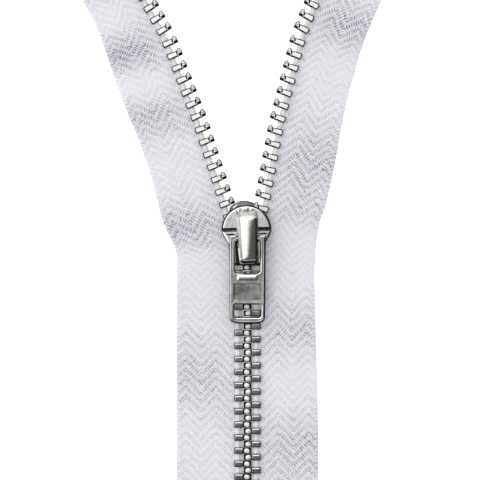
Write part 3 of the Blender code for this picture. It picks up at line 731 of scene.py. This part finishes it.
def slider():
    """Rear plate, front plate with its raised step, the flanges and the wedge between them, and the nose."""
    bm = bmesh.new()
    rear_rings = [(0.35, 0.0, 0), (0.1, 0.08, 1), (0, 0.25, 2), (0, 0.62, 2), (0.12, 0.76, 1),
                  (0.35, 0.82, 0)]
    plate(bm, REAR, rear_rings)
    # Painted shade: two shallow grooves across the plate and a shallow patch under the crown and tab, all
    # near black.
    sunk = [(box_loop(x, x + 1.8, -1.06, -0.74, 0.08, 2), [(0, PLATE_TOP, 3), (0.12, 4.35, 3)])
            for x in (-4.5, 2.7)]
    sunk.append((box_loop(-2.6, 2.62, -7.38, -1.7, 0.3, 3),
                 [(0, PLATE_TOP, 3), (0.06, 4.44, 3), (0.1, 4.44, 3)]))
    # the front plate's sides and outer bevel are painted shade, a dark outline all round
    front_rings = [(0.2, 3.68, 3), (0, 3.8, 3), (0, 4.20, 3), (0.20, 4.40, 3), (0.24, 4.43, 1),
                   (0.42, PLATE_TOP, 1), (0.47, PLATE_TOP, 0)]
    plate(bm, FRONT, front_rings, bosses=sunk)
    # the tail's bevel behind the tab is painted shade
    for f in bm.faces:
        place = f.calc_center_median()
        if place.y < -7.3 and abs(place.x) < 3.2 and place.z > 4.2:
            f.material_index = 3
    # the nose's outline is painted shade, and its top is the darker painted-shade side metal
    nose = rounded([(-3.9, 4.2), (3.7, 4.2), (2.75, 5.4), (1.4, 6.3), (0.2, 6.62), (-1.3, 6.62),
                    (-2.75, 5.95), (-3.5, 5.35)], 0.3, 4)
    plate(bm, nose, [(0, 0.7, 3), (0.1, 0.86, 3), (0.22, 0.9, 3), (0.26, 0.92, 2), (0.34, 0.92, 2)])
    for facet in ([(-3.15, 5.0), (-2.6, 4.9), (-1.95, 5.6), (-1.75, 6.15), (-2.75, 5.5)],
                  [(1.75, 5.6), (2.5, 4.9), (2.75, 5.2), (2.2, 5.7), (1.8, 5.95)]):
        plate(bm, rounded(facet, 0.06, 2), [(0, 0.8, 1), (0, 0.93, 1), (0.03, 0.97, 1), (0.05, 0.97, 1)])
    flange = [(3.32, -7.8), (3.9, -7.2), (4.08, -3.2), (5.50, -0.5), (5.5, 0.6), (5.0, 0.55), (3.32, -4.6)]
    for s in (1, -1):
        shape = flange if s > 0 else [(-x, y) for x, y in reversed(flange)]
        plate(bm, shape, [(0, 0.75, 2), (0, 1.5, 2), (0.08, 1.65, 1)])
        plate(bm, shape, [(0.08, 2.85, 1), (0, 3.0, 2), (0, 3.75, 2)])
    wedge = rounded([(-0.2, 0.5), (0.2, 0.5), (0.8, 3.4), (1.1, 5.9), (-1.1, 5.9), (-0.8, 3.4)], 0.25, 3)
    plate(bm, wedge, [(0, 0.7, 2), (0, 3.75, 2)])

    step_rings = [  # inset, height, slot, and how far back the ring's rear edge reaches
        (0, 4.45, 3, -0.42), (0, 4.65, 3, -0.40), (0.08, 4.78, 3, -0.30), (0.20, 4.94, 3, 0.16),
        (0.28, 5.02, 3, 0.50), (0.32, 5.05, 1, 0.58), (0.46, STEP_TOP, 1, 0.61), (0.52, STEP_TOP, 0, 0.66),
    ]

    def sloped(points, z, k):
        return [(x, max(y, step_rings[k][3]), z) for x, y in points]

    plate(bm, STEP, [ring[:3] for ring in step_rings], shape=sloped)
    # the step's edge is painted shade; the lower part of its slope gets the lighter painted-shade side metal
    for f in bm.faces:
        place = f.calc_center_median()
        if f.material_index == 3 and abs(place.x) < 5.2 and place.y < 0.2 and 4.6 < place.z < 4.9:
            f.material_index = 2
    obj = finish_piece("slider_casting", bm, SLIDER_METALS, matrix=YAW)
    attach(obj, "slider")
    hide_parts("slider_body")


CROWN_ROWS = [  # y, height of the face, half width of the face, half width of the foot
    (4.45, 5.12, 1.75, 1.95), (4.25, 5.35, 1.85, 2.15), (3.85, 6.0, 1.85, 2.3), (3.4, 6.75, 1.83, 2.4),
    (3.1, 7.2, 1.81, 2.42), (2.9, 7.45, 1.80, 2.44), (2.6, 7.62, 1.79, 2.45), (2.0, 7.72, 1.78, 2.45),
    (0.6, 7.80, 1.74, 2.44), (-0.9, 7.84, 1.70, 2.42), (-1.9, 7.84, 1.67, 2.40), (-2.9, 7.83, 1.64, 2.36),
    (-4.2, 7.76, 1.59, 2.28), (-5.4, 7.64, 1.54, 2.21), (-6.2, 7.52, 1.52, 2.16), (-6.6, 7.38, 1.5, 2.13),
    (-6.85, 7.1, 1.48, 2.11), (-7.05, 6.4, 1.46, 2.10), (-7.25, 5.4, 1.40, 2.08), (-7.42, 4.72, 1.38, 2.0),
    (-7.60, 4.70, 1.30, 1.8),
]


CROWN_PLACE = Matrix.Translation((0.26, 0, 0)) @ Matrix.Rotation(math.radians(2.0), 4, "Z")


def crown():
    """The bridge over the tab's bar: a convex polished face, sloping sides and a flat flange."""
    face = [(-1.0, 0.82), (-0.97, 0.87), (-0.9, 0.90), (-0.75, 0.935), (-0.5, 0.97), (-0.25, 0.992),
            (0, 1.0)]
    bm = bmesh.new()
    rows = []
    for y, top, half, foot in CROWN_ROWS:
        base = STEP_TOP if y > 0.2 else 4.66
        rise = max(top - base, 0.02)
        row = [(-foot, 0.0), (-foot, 0.03), (-foot + 0.14, 0.04), (-foot + 0.18, 0.56),
               (-half - 0.14, 0.64), (-half - 0.04, 0.78)]
        row += [(half * a, b) for a, b in face]
        row += [(-x, h) for x, h in reversed(row[:-1])]
        slew = -0.16 + 0.026 * max(0.0, -y - 2)
        spread = [slew if abs(x) > half + 0.2 else 0.0 for x, h in row]
        rows.append([bm.verts.new((x + dx, y, base + rise * h)) for (x, h), dx in zip(row, spread)])
    last = len(rows[0]) - 2

    def opening(i, j):
        return (i < 3 or i > last - 3) and -2.95 < (CROWN_ROWS[j][0] + CROWN_ROWS[j + 1][0]) / 2 < -0.8

    grid_faces(bm, rows, 0, skip=opening)
    # Painted shade: a thin line down the face's right edge, and the band below the face's rear end.
    painted_shade_right_edge = {(row[-k], row[1 - k]) for row in rows for k in (5, 6, 7, 8, 9)}
    for f in bm.faces:
        place = f.calc_center_median()
        if abs(place.x) > 1.85 or place.y > 3.0:
            f.material_index = 1
        if place.y < -6.8:
            f.material_index = 2
        if place.y < 0 and place.z < 4.85:
            f.material_index = 3
        if place.y < 2.6 and any(a in f.verts and b in f.verts for a, b in painted_shade_right_edge):
            f.material_index = 2
    obj = finish_piece("crown_bridge", bm, [CROWN, WALL, PAINTED_SHADE, RIM], sharp=50,
                       matrix=CROWN_PLACE)
    solid = obj.modifiers.new("walls", "SOLIDIFY")
    solid.thickness, solid.offset = 0.28 * MM, -1
    bake_modifiers(obj)
    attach(obj, "slider")
    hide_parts("slider_crown")
    bm = bmesh.new()
    # the feet's lower sides and the rings round their small domes are painted shade
    for x, y, w, h, top in ((-0.15, 4.72, 0.75, 0.52, 0.42), (-1.55, 4.45, 0.30, 0.42, 0.34),
                            (1.25, 4.6, 0.42, 0.36, 0.34)):
        plate(bm, box_loop(x - w, x + w, y - h, y + h, 0.3, 5),
              [(0, 5.0, 3), (0, 5.0 + top * 0.6, 3), (0.12, 5.0 + top * 0.9, 1), (0.3, 5.0 + top, 1)])
    for x, y, r in ((-1.75, 3.75, 0.45), (1.95, 3.75, 0.45)):
        dome(bm, (x, y, 5.08), r, 0.14, 3, around=20)
        dome(bm, (x, y - 0.05, 5.16), r * 0.45, 0.14, 0, around=16)
    feet = finish_piece("crown_feet", bm, SLIDER_METALS, matrix=YAW)
    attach(feet, "slider")


def bake_modifiers(obj):
    """The object's mesh with its modifiers applied."""
    bpy.context.view_layer.update()
    graph = bpy.context.evaluated_depsgraph_get()
    mesh = bpy.data.meshes.new_from_object(obj.evaluated_get(graph))
    obj.modifiers.clear()
    obj.data = mesh


def pull_tab():
    """The flat tab: rims round its edges and windows, a raised rib and a stippled panel, with painted shade
    outlining its edges and painted highlights at its arms' top ends.
    """
    outer = rounded([(-4.1, 0.7), (-4.0, -18.3), (-3.35, -18.95), (-2.1, -19.2), (2.1, -19.2),
                     (3.35, -18.95), (4.0, -18.3), (4.15, 0.7), (2.6, 0.78), (2.50, 0.42), (-2.40, 0.42),
                     (-2.5, 0.78)],
                    [0.35, 0.7, 0.5, 0.5, 0.5, 0.5, 0.7, 0.35, 0.1, 0.05, 0.05, 0.1], 5)
    upper = box_loop(-2.72, 2.80, -7.75, -0.45, 0.75, 6)
    lower = box_loop(-2.95, 3.0, -17.75, -14.85, 0.45, 5)
    rib = rounded([(-2.45, -9.55), (2.45, -9.55), (2.45, -8.05), (-2.45, -8.05)], 0.7, 7)
    panel = box_loop(-3.15, 3.15, -13.95, -10.05, 0.12, 3)
    rings = [(0.25, -0.55, 0), (0.05, -0.42, 1), (0, -0.30, 2), (0, 0.10, 2), (0.10, 0.28, 3),
             (0.14, 0.32, 1), (0.22, 0.42, 1), (0.34, 0.50, 1), (0.46, 0.51, 0), (0.58, 0.44, 0),
             (0.62, 0.44, 0)]
    bosses = [
        (rib, [(0, 0.44, 3), (0.03, 0.55, 1), (0.16, 0.72, 1), (0.36, 0.80, 1), (0.6, 0.82, 1)]),
        (panel, [(0, 0.44, 1), (0.18, 0.24, 1), (0.24, 0.20, 3), (0.30, 0.20, 4), (0.36, 0.20, 4)]),
    ]
    bm = bmesh.new()
    plate(bm, outer, rings, holes=[upper, lower], bosses=bosses)
    # painted shade on the outer bevel along the bottom and right, the edges turned from the light
    for f in bm.faces:
        place = f.calc_center_median()
        if f.material_index != 1:
            continue
        outside = abs(place.x) > 3.3 or place.y < -18.2 or place.y > 0.1
        window_rim = place.x < -2.6 or abs(place.y + 14.9) < 0.25
        if outside and place.z < 0.52:
            f.material_index = 3 if place.y < -18.2 or place.x > 3.75 else 0
        elif window_rim and 0.25 < place.z < 0.5:
            f.material_index = 0
    # painted highlights: strips of the bright tooth metal at the arms' top ends
    for x0, x1 in ((-3.85, -2.62), (2.72, 3.92)):
        painted_highlight_strip = rounded([(x0, 0.22), (x1, 0.30), (x1, 0.70), (x0, 0.66)], 0.12, 3)
        plate(bm, painted_highlight_strip, [(0, 0.3, 5), (0, 0.5, 5), (0.05, 0.56, 5), (0.1, 0.57, 5)])
    where = Matrix.Translation(PULL_PIVOT) @ Matrix.Rotation(math.radians(PULL_TILT), 4, "X")
    obj = finish_piece("pull_tab_plate", bm, [PULL, RIM, PAINTED_SHADE_SIDE, PAINTED_SHADE, PANEL, PAINTED_HIGHLIGHT],
                       matrix=where)
    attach(obj, "pull")
    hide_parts("pull_tab")


PAWL_X = -0.66
PAWL_HALF_WIDTH = 0.20
PAWL_HALF_THICK = 0.11
PAWL_LINE = [  # the leaf's middle from front to rear, as (Y, Z)
    (1.75, 6.40), (1.2, 6.47), (-3.9, 6.47), (-4.35, 6.43), (-4.62, 6.25), (-4.72, 5.95), (-5.0, 3.72),
]


def pawl():
    """The spring leaf under the crown, its end bent down into the front plate."""
    steel = metal("pawl_steel", rgb(0.30, 0.30, 0.31), rgb(0.50, 0.50, 0.51), 0.3, stretch=(1, 0.2, 1))
    last = len(PAWL_LINE) - 1
    rows = []
    bm = bmesh.new()
    for k, (y, z) in enumerate(PAWL_LINE):
        before, after = PAWL_LINE[max(k - 1, 0)], PAWL_LINE[min(k + 1, last)]
        along = Vector((after[0] - before[0], after[1] - before[1])).normalized()
        dy, dz = -PAWL_HALF_THICK * along.y, PAWL_HALF_THICK * along.x
        half = PAWL_HALF_WIDTH if k < last else 0.7 * PAWL_HALF_WIDTH
        corners = [(-half, 1), (half, 1), (half, -1), (-half, -1)]
        rows.append([bm.verts.new((PAWL_X + x, y + s * dy, z + s * dz)) for x, s in corners])
    for low, high in zip(rows, rows[1:]):
        ring_faces(bm, low, high, 0)
    bm.faces.new(rows[0])
    bm.faces.new(rows[-1])
    obj = finish_piece("pawl_leaf", bm, [steel], sharp=30)
    edge = obj.modifiers.new("edge", "BEVEL")
    edge.width, edge.segments = 0.04 * MM, 2
    bake_modifiers(obj)
    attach(obj, "pawl")
    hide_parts("lock_pawl")


# ---------------------------------------------------------------- studio


CAMERA_OVER = (-1.58, -2.25, TAPE_Z + 0.6)
CAMERA_DISTANCE = 721.4


def studio():
    """A camera straight above, pale paper that glows, a sky brighter on the left, and one soft lamp."""
    scene = bpy.context.scene
    scene.view_settings.view_transform = "Standard"
    data = bpy.data.cameras.new("camera")
    data.lens, data.sensor_width = 240, 36
    data.clip_start, data.clip_end = 0.01, 10
    camera = bpy.data.objects.new("camera", data)
    camera.location = (Vector(CAMERA_OVER) + Vector((0, 0, CAMERA_DISTANCE))) * MM
    scene.collection.objects.link(camera)
    scene.camera = camera

    bm = bmesh.new()
    bmesh.ops.create_grid(bm, x_segments=8, y_segments=8, size=0.9)
    mesh = bpy.data.meshes.new("floor")
    bm.to_mesh(mesh)
    bm.free()
    floor = bpy.data.objects.new("floor", mesh)
    floor.location.z = -0.02 * MM
    paper = Graph("floor_paper")
    grain = paper.noise(paper.add("ShaderNodeTexCoord", out=3), 40.0)
    pale = paper.mix(grain, rgb(0.93, 0.93, 0.93), rgb(0.97, 0.97, 0.97))
    paper.put(paper.shader.inputs["Base Color"], pale)
    paper.put(paper.shader.inputs["Roughness"], 0.9)
    paper.put(paper.shader.inputs["Emission Color"], rgb(1, 1, 1))
    paper.put(paper.shader.inputs["Emission Strength"], 0.9)
    mesh.materials.append(paper.material)
    scene.collection.objects.link(floor)

    world = bpy.data.worlds.new("studio")
    world.use_nodes = True
    tree = world.node_tree
    back = tree.nodes["Background"]
    back.inputs["Color"].default_value = rgb(1, 1, 1)

    def math_node(operation, a, b):
        node = tree.nodes.new("ShaderNodeMath")
        node.operation = operation
        for socket, value in zip(node.inputs, (a, b)):
            if isinstance(value, bpy.types.NodeSocket):
                tree.links.new(value, socket)
            else:
                socket.default_value = value
        return node.outputs[0]

    def ramp(value, a, b, c, d):
        node = tree.nodes.new("ShaderNodeMapRange")
        node.interpolation_type = "SMOOTHSTEP"
        tree.links.new(value, node.inputs[0])
        for i, number in enumerate((a, b, c, d)):
            node.inputs[i + 1].default_value = number
        return node.outputs[0]

    direction = tree.nodes.new("ShaderNodeTexCoord").outputs["Generated"]
    split = tree.nodes.new("ShaderNodeSeparateXYZ")
    tree.links.new(direction, split.inputs[0])
    x, y, z = split.outputs
    # how far a direction leans to the bright side: metal mirrors a hard change, cloth sees a soft one
    lean = math_node("ADD", math_node("MULTIPLY", x, -0.62), math_node("MULTIPLY", y, 0.45))
    side_light = ramp(lean, -0.17, 0.17, 0.10, 1.5)
    height = ramp(z, 0.0, 0.5, 0.25, 1.0)
    mirrored = math_node("MULTIPLY", side_light, height)
    path = tree.nodes.new("ShaderNodeLightPath")
    soft = tree.nodes.new("ShaderNodeMix")
    tree.links.new(path.outputs["Is Diffuse Ray"], soft.inputs[0])
    tree.links.new(mirrored, soft.inputs[2])
    tree.links.new(ramp(lean, -0.6, 0.6, 0.66, 1.22), soft.inputs[3])
    light = soft.outputs[0]
    mixed = tree.nodes.new("ShaderNodeMix")
    tree.links.new(path.outputs["Is Camera Ray"], mixed.inputs[0])
    tree.links.new(light, mixed.inputs[2])
    mixed.inputs[3].default_value = 0.92
    tree.links.new(mixed.outputs[0], back.inputs["Strength"])
    scene.world = world

    key = bpy.data.lights.new("key", "AREA")
    key.shape, key.size, key.energy = "DISK", 0.5, 0.55
    lamp = bpy.data.objects.new("key", key)
    lamp.location = (-0.34, 0.42, 0.42)
    lamp.rotation_euler = (-lamp.location).to_track_quat("-Z", "Y").to_euler()
    scene.collection.objects.link(lamp)


studio()
for which in SIGN:
    tapes(which)
    teeth(which)
stops()
slider()
crown()
pull_tab()
pawl()
